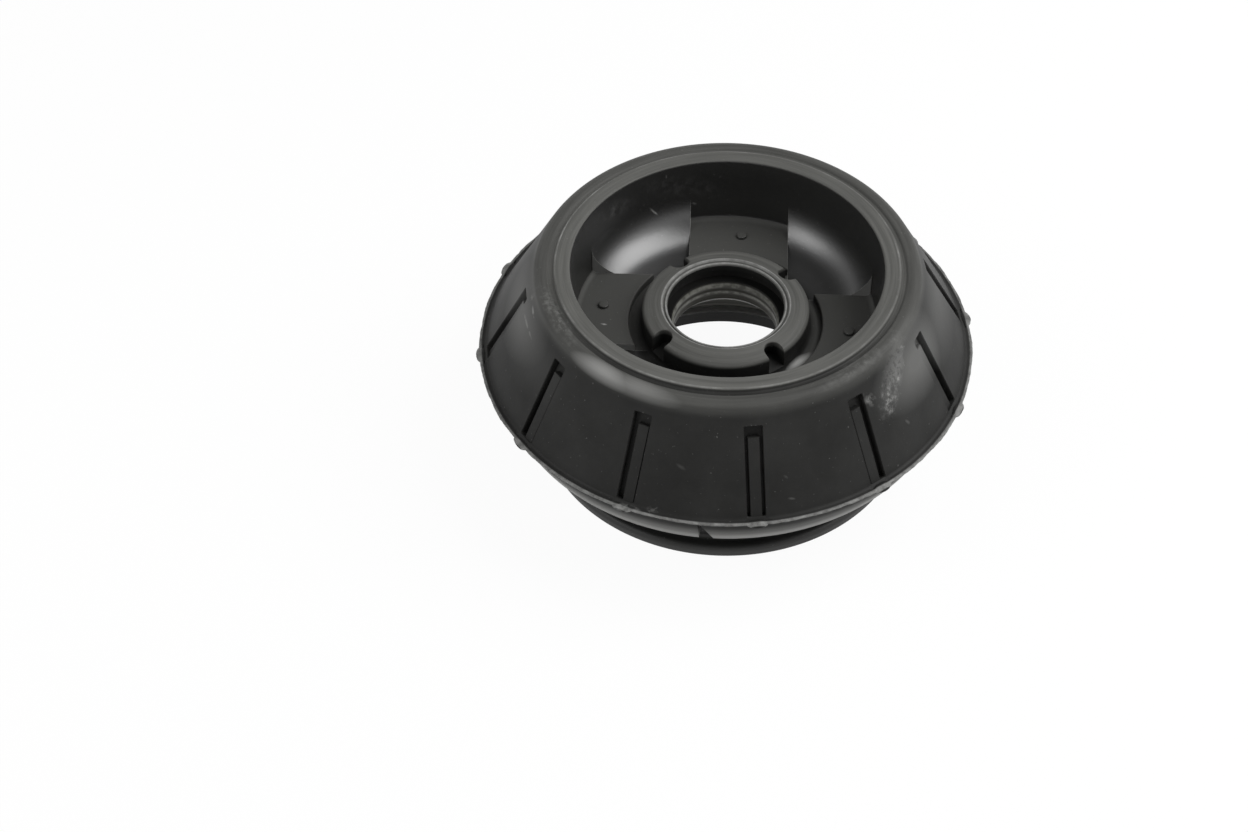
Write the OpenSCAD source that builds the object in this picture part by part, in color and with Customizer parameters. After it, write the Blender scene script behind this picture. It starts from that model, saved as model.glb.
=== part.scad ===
// Strut mount: a conical rubber mount moulded round a pressed steel insert.
// The axis is +Z, the foot stands on z = 0 and the bowl opens upwards.
// Heights in the upper half hang from the rim, so the bowl, the hub ring and the insert move with it.

/* [Foot and skirt] */
// Diameter of the foot bead
foot_d = 96; // [94:0.5:104]
// Height of the foot bead
foot_bead_h = 3.6; // [2.5:0.1:5]
// Diameter of the neck above the foot bead
neck_d = 89; // [84:0.5:92]
// Height at which the neck turns out under the skirt
neck_h = 12.5; // [10:0.1:14]
// Diameter of the lower edge of the skirt
skirt_d = 113; // [104:0.5:118]
// Height of the lower edge of the skirt
skirt_z = 17; // [15.5:0.1:20]
// Rounding of the neck under the skirt
neck_r = 3; // [1:0.1:5]
// Rounding of the foot bead and the skirt's edge
bead_r = 1.2; // [0.4:0.1:1.5]

/* [Moulding lip] */
// Diameter over the moulding lip, the widest round of the body
lip_d = 125; // [123:0.5:135]
// Width of the lip from the foot of the cone
lip_w = 2.1; // [1:0.1:3]
// Thickness of the lip
lip_t = 0.9; // [0.6:0.1:2]
// Height of the top of the lip
lip_z = 29.7; // [27:0.1:33]
// How far the lip overhangs the top of the skirt
lip_overhang = 1.5; // [0.5:0.1:2]
// Height of the lip's root under the lip
lip_root_h = 0.6; // [0.3:0.1:1.5]
// How far a flash nub stands out past the lip
nub_out = 0.8; // [0.3:0.1:2]
// Width of a flash nub
nub_w = 5.4; // [3:0.1:8]
// Height of a flash nub
nub_h = 1.6; // [1:0.1:3]

/* [Skirt notch] */
// Bearing of the notch in the skirt, in degrees from +X
notch_angle = -94.8; // [-180:0.1:180]
// Width of the notch at the skirt's lower edge
notch_w = 3.8; // [2:0.1:8]
// Width of the notch at its tip
notch_tip_w = 0.6; // [0.3:0.1:1.5]
// Distance from the tip of the notch up to the top of the skirt
notch_tip_gap = 1; // [0.5:0.1:4]
// Depth of the notch into the skirt
notch_depth = 4; // [2:0.1:6]

/* [Cone and rim] */
// Height from the foot to the top of the rim
body_h = 54.8; // [52:0.1:60]
// Diameter at which the cone would meet the top of the shoulder
shoulder_d = 93.4; // [90:0.5:98]
// Rounding of the shoulder
shoulder_r = 2; // [1:0.1:3.5]
// Width of the raised band round the mouth of the bowl
rim_w = 4; // [2:0.1:4.5]
// Step from the raised band down to the shoulder
rim_step = 0.5; // [0.3:0.1:1]
// Width of the channel between the raised band and the shoulder
rim_channel_w = 1.7; // [1.2:0.1:2.4]
// Depth of the channel below the shoulder
rim_channel_depth = 0.8; // [0.5:0.1:2]
// How far each wall of the channel leans in to its floor
rim_channel_lean = 0.4; // [0.2:0.1:0.5]
// Rounding of the mouth
mouth_r = 0.7; // [0.3:0.1:1.5]

/* [Cone grooves] */
// Number of grooves round the cone
groove_count = 12; // [6:1:18]
// Bearing of the first groove, in degrees from +X
groove_angle = -81.7; // [-180:0.1:180]
// Width of a groove
groove_w = 4.6; // [3.5:0.1:6]
// Depth of a groove
groove_depth = 2; // [1:0.1:3]
// Distance down the cone from the shoulder to the groove
groove_top_gap = 5.5; // [4:0.1:9]
// Distance up the cone from its foot to the groove
groove_foot_gap = 0.5; // [0.2:0.1:4]
// Width of the tongue that stands in a groove
tongue_w = 2.8; // [1:0.1:3]
// How far the face of the tongue lies below the cone
tongue_drop = 0.7; // [0.3:0.1:0.9]
// Distance from the top end of a groove down to its tongue
tongue_gap = 2; // [1:0.1:4]

/* [Bowl] */
// Diameter of the mouth of the bowl
bowl_d = 76.6; // [74:0.1:80]
// How far the wall of the bowl draws in from the mouth to the floor
bowl_draft = 0.5; // [0.2:0.1:1.5]
// Depth from the rim to the pads
bowl_depth = 19.2; // [17:0.1:21]
// Rounding between the wall and the floor, between the pads
bowl_r = 11; // [6:0.1:12]
// Fall of the floor from the wall to the moat round the hub ring
floor_fall = 1.6; // [0.8:0.1:1.8]
// Depth of the moat below the pads
moat_depth = 2.1; // [1.8:0.1:2.4]
// Width of the moat between the hub ring and the pads
moat_w = 3.4; // [2:0.1:5]
// Rounding of the moat's foot
moat_r = 1.7; // [0.5:0.1:2]
// Number of pads
pad_count = 4; // [3:1:4]
// Width of a pad
pad_w = 24.8; // [18:0.1:28]
// Bearing along which the first pad runs, in degrees from +X
pad_run_angle = -90; // [-180:0.1:180]
// Sideways shift of a pad from the axis, by which the pads stand like a pinwheel
pad_shift = 2.5; // [0:0.1:4]
// Gap between the outer end of a pad and the wall of the bowl
pad_gap = 0.6; // [0.4:0.1:2]
// Rounding by which the outer end of a pad rises into the wall
pad_rise_r = 1.8; // [0.5:0.1:3]
// Radius at which a pip stands on its pad
pip_pitch_r = 31; // [28:0.1:34]
// Diameter of a pip
pip_d = 2.6; // [1.5:0.1:4]
// Height of a pip
pip_h = 0.8; // [0.4:0.1:1.5]

/* [Hub ring] */
// Diameter of the hub ring
ring_d = 41.8; // [40:0.1:44]
// Height of the ring's inner edge above the pads
ring_h = 5.8; // [4.5:0.1:7]
// Fall of the ring's top from its inner to its outer edge
ring_fall = 1.4; // [0.6:0.1:2.5]
// Rounding of the ring's outer edge
ring_r = 1.4; // [0.5:0.1:2]
// Diameter of the ring's inner edge
ring_in_d = 31.6; // [30.5:0.1:33]
// Diameter of the lip that stands into the throat
throat_lip_d = 28.8; // [27.6:0.1:30]
// Thickness of the throat lip
throat_lip_t = 1.1; // [0.8:0.1:1.6]
// Height of the taper under the throat lip
throat_taper_h = 1.1; // [0.6:0.1:2]
// Diameter of the throat under its lip
throat_d = 31.2; // [30:0.1:32.4]
// Width of a notch in the ring
ring_notch_w = 4.6; // [3:0.1:6]
// Wall left between a notch and the ring's inner edge
ring_notch_wall = 1.4; // [0.8:0.1:2]
// Rubber left over the insert at the floor of a notch
ring_notch_floor = 0.8; // [0.5:0.1:1.5]

/* [Steel insert] */
// Diameter of the bore
bore_d = 26.2; // [24:0.1:27]
// Thickness of the pressing
insert_t = 3; // [2:0.1:3.2]
// How far the top of the insert stands above the pads
insert_rise = 0.3; // [0:0.1:0.8]
// Depth of the collar round the bore
collar_h = 7.1; // [6:0.1:9]
// Rounding between the collar and the roof
collar_r = 1.4; // [0.5:0.1:2]
// Height of the tapered entry at the top of the bore
bore_entry_h = 1.4; // [0.6:0.1:2]
// Width of the entry at the top of the bore
bore_entry_w = 0.5; // [0.3:0.1:1]
// Height of the flare at the foot of the bore
bore_flare_h = 1.4; // [0.6:0.1:2]
// Width of the flare at the foot of the bore
bore_flare_w = 1.1; // [0.5:0.1:1.5]
// Width of the flat top round the bore
insert_flat_w = 3.9; // [3.4:0.1:4.2]
// Rounding between the flat top and the roof
roof_r = 3; // [1:0.1:4]
// Slope of the conical roof, in degrees
roof_slope = 40; // [38:1:44]
// Diameter of the bearing seat on the underside
seat_d = 62.8; // [58:0.1:64]
// Height of the lower end of the bearing seat
seat_z = 10; // [8:0.1:11.5]
// Rounding between the roof and the bearing seat
seat_r = 4; // [2:0.1:6]

/* [Underside] */
// Diameter of the mouth of the underside
under_d = 70; // [68:0.5:74]
// Clearance of the rubber round the bearing seat
seat_clear = 0.4; // [0.2:0.1:1]
// Height at which the mouth begins to flare
flare_z = 7.8; // [5:0.1:7.9]
// Rounding of the mouth's edge
under_r = 1; // [0.5:0.1:2]

/* [Hidden] */
$fn = 128;
// Segments in each rounded corner of an outline
ARC_STEPS = 6;
// Largest share of an edge that one rounded corner takes up
EDGE_SHARE = 0.49;
// How far a cutting shape runs past the face it cuts
CUT_PAST = 1;

pad_z = body_h - bowl_depth;
moat_z = pad_z - moat_depth;
shoulder_z = body_h - rim_step;
rim_out_r = bowl_d / 2 + rim_w;
rim_channel_out_r = rim_out_r + rim_channel_w;
rim_channel_z = shoulder_z - rim_channel_depth;
insert_top = pad_z + insert_rise;
collar_z = insert_top - collar_h;
cone_foot = [lip_d / 2 - lip_w, lip_z];
cone_top = [shoulder_d / 2, shoulder_z];
cone_len = norm(cone_top - cone_foot);
cone_lean = atan2(cone_foot[0] - cone_top[0], cone_top[1] - cone_foot[1]);
skirt_top = [lip_d / 2 - lip_overhang, lip_z - lip_t - lip_root_h];
ring_top = pad_z + ring_h;
pad_start_r = ring_d / 2 + moat_w;
pad_end_r = bowl_d / 2 - pad_gap;
bowl_foot_r = bowl_d / 2 - bowl_draft;
// The grooves, the ring's notches and the pips share one pattern round the axis
pip_angle = groove_angle - 360 / groove_count / 2;
ring_notch_angle = pip_angle + 360 / pad_count / 2;

function unit(v) = v / norm(v);

// The arc that rounds corner q = [radius, height, rounding] between its neighbours p and s
function corner_arc(p, q, s) =
    let (
        a = [q[0], q[1]],
        to_p = [p[0], p[1]] - a,
        to_s = [s[0], s[1]] - a,
        half = acos(unit(to_p) * unit(to_s)) / 2,
        r = min(q[2], EDGE_SHARE * min(norm(to_p), norm(to_s)) * tan(half)),
        centre = a + unit(unit(to_p) + unit(to_s)) * r / sin(half),
        from = a + unit(to_p) * r / tan(half) - centre,
        to = a + unit(to_s) * r / tan(half) - centre,
        start = atan2(from[1], from[0]),
        turn = atan2(from[0] * to[1] - from[1] * to[0], from * to)
    )
    [for (i = [0 : ARC_STEPS])
        centre + r * [cos(start + turn * i / ARC_STEPS), sin(start + turn * i / ARC_STEPS)]];

// The points of a run of corners, each rounded as its third number says, between two corners that
// belong to the next runs
function rounded_run(before, corners, after) =
    let (run = concat([before], corners, [after]))
    [for (i = [1 : len(run) - 2])
        each run[i][2] == 0
            ? [[run[i][0], run[i][1]]]
            : corner_arc(run[i - 1], run[i], run[i + 1])];

function last(list) = list[len(list) - 1];

// The insert's upper and outer face, from the bore's top edge down to the end of the bearing seat
roof_start_r = bore_d / 2 + insert_flat_w;
seat_out_r = seat_d / 2 + insert_t;
roof_end_z = insert_top - (seat_out_r - roof_start_r) * tan(roof_slope);
insert_outer = [
    [roof_start_r, insert_top, roof_r],
    [seat_out_r, roof_end_z, seat_r + insert_t],
    [seat_out_r, seat_z, 0]
];

// The insert's lower and inner face, one thickness in from the upper one
collar_out_r = bore_d / 2 + insert_t;
roof_drop = insert_t / cos(roof_slope);
roof_foot_z = insert_top - roof_drop - (seat_d / 2 - roof_start_r) * tan(roof_slope);
collar_root_z = insert_top - roof_drop - (collar_out_r - roof_start_r) * tan(roof_slope);
insert_inner = [
    [seat_d / 2, seat_z, 0],
    [seat_d / 2, roof_foot_z, seat_r],
    [collar_out_r, collar_root_z, collar_r],
    [collar_out_r, collar_z, 0],
    [bore_d / 2 + bore_flare_w, collar_z, 0],
    [bore_d / 2, collar_z + bore_flare_h, 0],
    [bore_d / 2, insert_top - bore_entry_h, 0],
    [bore_d / 2 + bore_entry_w, insert_top, 0]
];

// The bonded face, which the rubber and the steel share
bonded_face = rounded_run(last(insert_inner), insert_outer, insert_inner[0]);

// The rubber from the underside's mouth round the outside and the bowl to the throat
rubber_outer = [
    [seat_d / 2 + seat_clear, seat_z, 0],
    [seat_d / 2 + seat_clear, flare_z, 0],
    [under_d / 2, 0, under_r],
    [foot_d / 2, 0, bead_r],
    [foot_d / 2, foot_bead_h, bead_r],
    [neck_d / 2, foot_bead_h, bead_r],
    [neck_d / 2, neck_h, neck_r],
    [skirt_d / 2, skirt_z, bead_r],
    [skirt_top[0], skirt_top[1], 0],
    [lip_d / 2, lip_z - lip_t, 0],
    [lip_d / 2, lip_z, 0],
    [cone_foot[0], cone_foot[1], lip_w],
    [cone_top[0], cone_top[1], shoulder_r],
    [rim_channel_out_r, shoulder_z, 0],
    [rim_channel_out_r - rim_channel_lean, rim_channel_z, 0],
    [rim_out_r + rim_channel_lean, rim_channel_z, 0],
    [rim_out_r, body_h, rim_step],
    [bowl_d / 2, body_h, mouth_r],
    [bowl_foot_r, moat_z + floor_fall, bowl_r],
    [pad_start_r, moat_z, moat_r],
    [ring_d / 2, moat_z, moat_r],
    [ring_d / 2, ring_top - ring_fall, ring_r],
    [ring_in_d / 2, ring_top, 0],
    [throat_lip_d / 2, ring_top - throat_lip_t, 0],
    [throat_d / 2, ring_top - throat_lip_t - throat_taper_h, 0],
    [throat_d / 2, insert_top, 0]
];

// One copy of a shape at each of count equal bearings, the first at start
module around(count, start) {
    for (i = [0 : count - 1])
        rotate([0, 0, start + 360 * i / count])
            children();
}

// A strip from radius r0 out to r1, square to the axis, between two heights
module strip(r0, r1, w, z0, z1) {
    translate([r0, -w / 2, z0])
        cube([r1 - r0, w, z1 - z0]);
}

// A ring of square section round the axis
module band(r0, r1, z0, z1) {
    translate([0, 0, z0])
        difference() {
            cylinder(r = r1, h = z1 - z0);
            translate([0, 0, -CUT_PAST])
                cylinder(r = r0, h = z1 - z0 + 2 * CUT_PAST);
        }
}

// One groove lying along the cone at bearing 0, less the tongue that stands in it
module groove() {
    run = cone_len - groove_foot_gap - groove_top_gap;
    tongue_h = groove_depth - tongue_drop;
    translate([cone_foot[0], 0, cone_foot[1]])
        rotate([0, -cone_lean, 0])
            translate([-groove_depth, 0, groove_foot_gap])
                difference() {
                    translate([0, -groove_w / 2, 0])
                        cube([groove_depth + CUT_PAST, groove_w, run]);
                    translate([-CUT_PAST, -tongue_w / 2, -CUT_PAST])
                        cube([tongue_h + CUT_PAST, tongue_w, run - tongue_gap + CUT_PAST]);
                }
}

// One flash nub on the lip, below a groove
module nub() {
    strip(lip_d / 2 - lip_w, lip_d / 2 + nub_out, nub_w, lip_z - lip_t, lip_z - lip_t + nub_h);
}

// The saw-tooth notch in the skirt: upright on one side, slanting on the other
module skirt_notch() {
    tip_z = skirt_top[1] - notch_tip_gap;
    slant = (notch_w - notch_tip_w) / (tip_z - skirt_z);
    foot_w = notch_w + slant * (skirt_z - neck_h);
    rotate([0, 0, notch_angle])
        translate([skirt_d / 2 - notch_depth, 0, 0])
            rotate([90, 0, 90])
                linear_extrude(height = lip_d / 2)
                    polygon([[0, tip_z], [0, neck_h], [foot_w, neck_h], [notch_tip_w, tip_z]]);
}

// One U-shaped notch in the hub ring at bearing 0
module ring_notch() {
    inner_r = ring_in_d / 2 + ring_notch_wall + ring_notch_w / 2;
    floor_z = insert_top + ring_notch_floor;
    translate([inner_r, 0, floor_z])
        cylinder(d = ring_notch_w, h = ring_h + CUT_PAST);
    strip(inner_r, ring_d / 2 + CUT_PAST, ring_notch_w, floor_z, ring_top + CUT_PAST);
}

// The flat ground of one pad, filled up from the floor of the moat
module pad_ground() {
    intersection() {
        band(pad_start_r, pad_end_r, moat_z - CUT_PAST, pad_z);
        translate([0, -pad_shift, 0])
            strip(0, bowl_d / 2, pad_w, moat_z - CUT_PAST, pad_z);
    }
}

// The space over one pad, cut down through the rounding of the bowl and rounded at its outer end
module pad_space() {
    top = [pad_start_r, body_h];
    corners = [[pad_start_r, pad_z, 0], [pad_end_r, pad_z, pad_rise_r], [pad_end_r, body_h, 0]];
    intersection() {
        rotate_extrude()
            polygon(concat([top], rounded_run(top, corners, top)));
        translate([0, -pad_shift, 0])
            strip(0, bowl_d / 2, pad_w, pad_z, body_h);
    }
}

// One pip at bearing 0, rooted in the ground of its pad
module pip() {
    translate([pip_pitch_r, 0, moat_z])
        cylinder(d = pip_d, h = moat_depth + pip_h);
}

module rubber_body() {
    color("#2c2c2b")
        union() {
            difference() {
                union() {
                    rotate_extrude()
                        polygon(concat(rounded_run(last(insert_outer), rubber_outer, insert_outer[0]), bonded_face));
                    around(pad_count, pad_run_angle)
                        pad_ground();
                    around(groove_count, groove_angle)
                        nub();
                }
                around(groove_count, groove_angle)
                    groove();
                around(pad_count, pad_run_angle)
                    pad_space();
                around(pad_count, ring_notch_angle)
                    ring_notch();
                skirt_notch();
            }
            around(pad_count, pip_angle)
                pip();
        }
}

module steel_insert() {
    color("#4a483f")
        rotate_extrude()
            polygon(concat(bonded_face, rounded_run(last(insert_outer), insert_inner, insert_outer[0])));
}

rubber_body();
steel_insert();
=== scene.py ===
"""Strut mount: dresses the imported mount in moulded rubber, flash and steel, and sets its stage."""

import math

import bpy
from bpy.props import FloatProperty, FloatVectorProperty, IntProperty, PointerProperty
from mathutils import Matrix, Vector


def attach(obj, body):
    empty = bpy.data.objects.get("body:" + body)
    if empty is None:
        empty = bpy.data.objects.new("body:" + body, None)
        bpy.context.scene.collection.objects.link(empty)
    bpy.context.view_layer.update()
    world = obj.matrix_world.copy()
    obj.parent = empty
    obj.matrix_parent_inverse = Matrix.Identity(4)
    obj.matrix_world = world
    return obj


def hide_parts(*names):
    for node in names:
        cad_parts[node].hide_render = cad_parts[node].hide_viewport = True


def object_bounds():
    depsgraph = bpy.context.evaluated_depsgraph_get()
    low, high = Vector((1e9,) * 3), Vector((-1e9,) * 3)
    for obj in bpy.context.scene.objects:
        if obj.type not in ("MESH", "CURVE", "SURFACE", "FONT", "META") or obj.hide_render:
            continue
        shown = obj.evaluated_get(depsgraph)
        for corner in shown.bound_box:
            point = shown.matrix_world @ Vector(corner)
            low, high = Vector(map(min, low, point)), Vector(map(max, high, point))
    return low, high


bl_info = {
    "name": "Strut Mount",
    "version": (1, 0, 0),
    "blender": (4, 5, 0),
    "location": "3D View > Sidebar > Strut Mount",
    "description": "Models the rubber, flash and steel of a conical strut mount and sets its stage",
    "category": "Object",
}

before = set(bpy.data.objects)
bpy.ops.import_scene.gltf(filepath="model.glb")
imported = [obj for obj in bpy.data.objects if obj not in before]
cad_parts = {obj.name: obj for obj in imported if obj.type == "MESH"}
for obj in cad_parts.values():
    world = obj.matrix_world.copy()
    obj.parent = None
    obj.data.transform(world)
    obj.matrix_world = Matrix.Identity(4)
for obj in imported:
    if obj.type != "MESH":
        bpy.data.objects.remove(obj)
CAD_LOW, CAD_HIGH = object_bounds()
BODY = "root"
MM = 0.001
TURN = 2 * math.pi

# Points nearer than this are one
SAME_PLACE = 0.01 * MM
# Room that keeps faces apart which would lie on each other
HAIR = 0.02 * MM
# Largest turn of one facet in a rounded corner
ARC_STEP = math.radians(9)
# Turns past which an edge is left sharp
RUBBER_CREASE = math.radians(35)
FLASH_CREASE = math.radians(50)
PIP_CREASE = math.radians(40)
# Heights and spreads of a cutter that flares as it leaves a surface and so rounds the edge it cuts
LIP_ROUNDING = (
    (-0.34 * MM, 0),
    (-0.17 * MM, 0.04 * MM),
    (-0.05 * MM, 0.13 * MM),
    (0.03 * MM, 0.3 * MM),
    (0.6 * MM, 1.5 * MM),
)

# Hidden side of the moulding: its mouth below, the seat and the face bonded to the steel
UNDER_R = 35 * MM
SEAT_R = 31.8 * MM
SEAT_MOUTH_Z = 7.8 * MM
SEAT_END_Z = 10 * MM
BOND_TOP_R = 17 * MM
BOND_R = 34.4 * MM
BOND_Z = 21.3 * MM
# Lip, channel, bowl and throat
LIP_OVERHANG = 1.5 * MM
LIP_ROOT_H = 0.6 * MM
LIP_SETBACK = 0.6 * MM
LIP_FALL = 0.1 * MM
CHANNEL_LEAN = 0.4 * MM
BOWL_DRAFT = 0.5 * MM
FLOOR_FALL = 1.6 * MM
THROAT_LIP_T = 1.1 * MM
THROAT_LIP_ROOT = 2.2 * MM
# Two fine lips with a crease between them, in millimetres off the ring's inner edge, with roundings
THROAT_LIPS = ((0.2, 0, 0.25), (-0.35, -0.9, 0.1), (-0.8, -0.35, 0.2))
# Grooves and tongues
GROOVE_FOOT_GAP = 0.5 * MM
GROOVE_TOP_GAP = 5.5 * MM
GROOVE_CORNER_R = 0.3 * MM
TONGUE_ROOT = 1 * MM
TONGUE_EDGE_R = 0.25 * MM
# Pads and pips
PAD_LAP = 1.5 * MM
PAD_HEADROOM = 6 * MM
PAD_ROOT = 0.5 * MM
PAD_EDGE_R = 0.4 * MM
PIP_PITCH_R = 31 * MM
PIP_R = 1.3 * MM
PIP_LENGTH = 1.2 * MM
PIP_LIFT = 0.2 * MM
PIP_EDGE_R = 0.3 * MM
# Notches of the hub ring and the skirt
RING_NOTCH_WALL = 1.4 * MM
RING_NOTCH_REACH = 4 * MM
RING_NOTCH_DEPTH = 5 * MM
NEARLY_ROUND = 0.99
SKIRT_NOTCH_TIP_Z = 27.2 * MM
SKIRT_NOTCH_DEPTH = 4 * MM
SKIRT_NOTCH_W = 5.2 * MM
SKIRT_NOTCH_SLANT = 4.6 * MM
# Flash along the lip and its nubs, with the grain and reach of each tear in the edge
FLASH_ROOT = 1.2 * MM
FLASH_SETBACK = 0.35 * MM
FLASH_RISE = 0.05 * MM
FLASH_FALL = 0.2 * MM
TEARS = ((6 * MM, 0.45 * MM), (1.3 * MM, 0.25 * MM))
NUB_ROOT = 0.9 * MM
NUB_HALF_H = 0.6 * MM
NUB_DROP = 0.4 * MM


def length(name, description, mm):
    """A size property, written in millimetres and held in metres."""
    return FloatProperty(
        name=name, description=description, default=mm * MM, unit="LENGTH", precision=5)


def bearing(name, description, degrees):
    """A direction property, written in degrees."""
    return FloatProperty(
        name=name, description=description, default=math.radians(degrees), subtype="ANGLE")


def linear(code):
    """An sRGB hex colour as linear red, green, blue and alpha."""
    parts = [int(code[i : i + 2], 16) / 255 for i in (1, 3, 5)]
    return (*[c / 12.92 if c <= 0.04045 else ((c + 0.055) / 1.055) ** 2.4 for c in parts], 1.0)


def colour(name, description, code):
    """A colour property, written as sRGB hex."""
    return FloatVectorProperty(
        name=name, description=description, size=4, subtype="COLOR", default=linear(code))


class MountSizes(bpy.types.PropertyGroup):
    """The moulding's own sizes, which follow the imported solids"""

    columns: IntProperty(
        name="Columns", description="Steps round the axis in a turned shape", default=288)
    flash_columns: IntProperty(
        name="Flash columns", description="Steps round the axis in the flash", default=900)
    foot_r: length("Foot radius", "Radius of the foot bead", 48)
    foot_bead_h: length("Foot bead height", "Height of the foot bead", 3.6)
    neck_r: length("Neck radius", "Radius of the neck above the foot bead", 44.5)
    neck_h: length("Neck height", "Height at which the neck turns out under the skirt", 12.5)
    skirt_r: length("Skirt radius", "Radius of the skirt's lower edge", 56.5)
    skirt_z: length("Skirt height", "Height of the skirt's lower edge", 17.8)
    lip_r: length("Lip radius", "Radius of the moulding lip", 62.5)
    lip_w: length("Lip width", "Width of the lip from the foot of the cone", 2.1)
    lip_t: length("Lip thickness", "Thickness of the lip", 0.6)
    lip_z: length("Lip height", "Height of the top of the lip", 29.7)
    shoulder_r: length("Shoulder radius", "Radius at which the cone would meet the shoulder", 46.7)
    rim_step: length("Rim step", "Step from the raised band down to the shoulder", 0.5)
    rim_w: length("Rim width", "Width of the raised band round the mouth", 4)
    rim_channel_w: length("Rim channel width", "Width of the channel round the band", 1.7)
    rim_channel_depth: length("Rim channel depth", "Depth of the channel below the shoulder", 0.4)
    bowl_r: length("Bowl radius", "Radius of the mouth of the bowl", 38.3)
    bowl_depth: length("Bowl depth", "Depth from the rim to the pads", 19.2)
    moat_depth: length("Moat depth", "Depth of the moat below the pads", 2.1)
    moat_w: length("Moat width", "Width of the moat between the hub ring and the pads", 3.4)
    pad_w: length("Pad width", "Width of a pad", 25.5)
    pad_shift: length("Pad shift", "Shift that sets the pads like a pinwheel", 2.85)
    pad_turn: bearing("Pad bearing", "Bearing along which the first pad runs", -90)
    pad_end_r: length("Pad end", "Radius of a pad's outer end", 37.9)
    pad_rise_r: length("Pad rise", "Rounding by which a pad's end rises into the wall", 1.5)
    ring_r: length("Ring radius", "Radius of the hub ring", 20.9)
    ring_h: length("Ring height", "Height of the ring's inner edge above the pads", 5.8)
    ring_fall: length("Ring fall", "Fall of the ring's top to its outer edge", 1.4)
    ring_in_r: length("Ring inner radius", "Radius of the ring's inner edge", 15.8)
    ring_notch_w: length("Ring notch width", "Width of a notch in the hub ring", 4.6)
    throat_lip_r: length("Throat lip radius", "Radius of the lip that stands into the throat", 14.4)
    throat_r: length("Throat radius", "Radius of the throat under its lip", 15.6)
    insert_rise: length("Insert rise", "Height of the insert's top above the pads", 0.3)
    groove_w: length("Groove width", "Width of a groove in the cone", 4.3)
    groove_depth: length("Groove depth", "Depth of a groove in the cone", 2)
    tongue_w: length("Tongue width", "Width of the tongue that stands in a groove", 2.8)
    tongue_drop: length("Tongue drop", "Depth of a tongue's face below the cone in front", 0.25)
    tongue_drop_back: length("Tongue drop behind", "Depth of a tongue's face elsewhere", 0.7)
    tongue_gap: length("Tongue gap", "Distance from the top end of a groove to its tongue", 2.8)
    tongue_shift: length("Tongue shift", "Shift of a flank's tongue off its groove's middle", 0.66)
    groove_count: IntProperty(
        name="Grooves", description="Number of grooves round the cone", default=12)
    groove_turn: bearing("Groove bearing", "Bearing of the first groove", -81.7)
    pad_count: IntProperty(name="Pads", description="Number of pads round the bowl", default=4)
    notch_turn: bearing("Skirt notch bearing", "Bearing of the notch in the skirt", -94.8)
    nub_out: length("Nub reach", "How far a flash nub stands out of the lip", 0.5)
    nub_w: length("Nub width", "Width of a flash nub along the lip", 5.4)


class MountColours(bpy.types.PropertyGroup):
    """Colours of the rubber, its dust and the steel"""

    rubber: colour("Rubber", "The clean rubber", "#1c1c1b")
    bloom: colour("Bloom", "Rubber greyed by wax that has come to its surface", "#292928")
    dust: colour("Dust", "Moulding dust on the rim, the lip and the skirt", "#656562")
    # The gloss colour also paints the shade round the pips
    gloss: colour("Gloss", "Glossy rubber of the bowl", "#121211")
    pad: colour("Pads", "Matt rubber of the pads in the bowl", "#454543")
    # The chalk colour also paints highlights and sheen: on the band's edge, the skirt's hem, the
    # shoulder, the moat, the cone's sides and the pads' side walls
    chalk: colour("Chalk", "Chalky scuffs and scratches", "#a2a2a0")
    steel: colour("Steel", "Phosphated steel of the insert", "#34332d")
    # The worn steel colour also paints the highlights on the bore's edges
    worn: colour("Worn steel", "Steel worn paler on the edges of the bore", "#82827c")
    floor: colour("Floor", "The pale floor", "#f2f2f2")


def alone(piece):
    """Leaves one object selected and active."""
    bpy.ops.object.select_all(action="DESELECT")
    piece.select_set(True)
    bpy.context.view_layer.objects.active = piece


def pick(piece, test):
    """Opens an object in edit mode with only the vertices whose place passes the test selected."""
    alone(piece)
    bpy.ops.object.mode_set(mode="EDIT")
    bpy.ops.mesh.select_mode(type="VERT")
    bpy.ops.mesh.select_all(action="DESELECT")
    bpy.ops.object.mode_set(mode="OBJECT")
    for vertex in piece.data.vertices:
        vertex.select = test(vertex.co)
    bpy.ops.object.mode_set(mode="EDIT")


def finish_edit():
    """Goes back to object mode."""
    bpy.ops.object.mode_set(mode="OBJECT")


def outline(name, corners):
    """A closed wire in the XZ plane through (radius, height, rounding) corners, bevelled round."""
    points = [Vector((r, 0, z)) for r, z, _ in corners]
    bpy.ops.object.select_all(action="DESELECT")
    bpy.ops.mesh.primitive_plane_add(size=MM)
    piece = bpy.context.object
    piece.name = name
    bpy.ops.object.mode_set(mode="EDIT")
    bpy.ops.mesh.merge(type="CENTER")
    bpy.ops.transform.translate(value=points[0])
    for here, after in zip(points, points[1:]):
        bpy.ops.mesh.extrude_vertices_move(TRANSFORM_OT_translate={"value": after - here})
    finish_edit()
    ends = (points[0], points[-1])
    pick(piece, lambda co: any((co - end).length < SAME_PLACE for end in ends))
    bpy.ops.mesh.edge_face_add()
    finish_edit()
    roundings = [rounding for _, _, rounding in corners]
    befores, afters = points[-1:] + points, points[1:] + points[:1]
    for here, rounding, before, after in zip(points, roundings, befores, afters):
        if rounding == 0:
            continue
        corner = (before - here).angle(after - here)
        steps = math.ceil((math.pi - corner) / ARC_STEP)
        pick(piece, lambda co: (co - here).length < SAME_PLACE)
        reach = rounding / math.tan(corner / 2)
        bpy.ops.mesh.bevel(offset=reach, segments=max(steps, 2), affect="VERTICES")
        finish_edit()
    return piece


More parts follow.
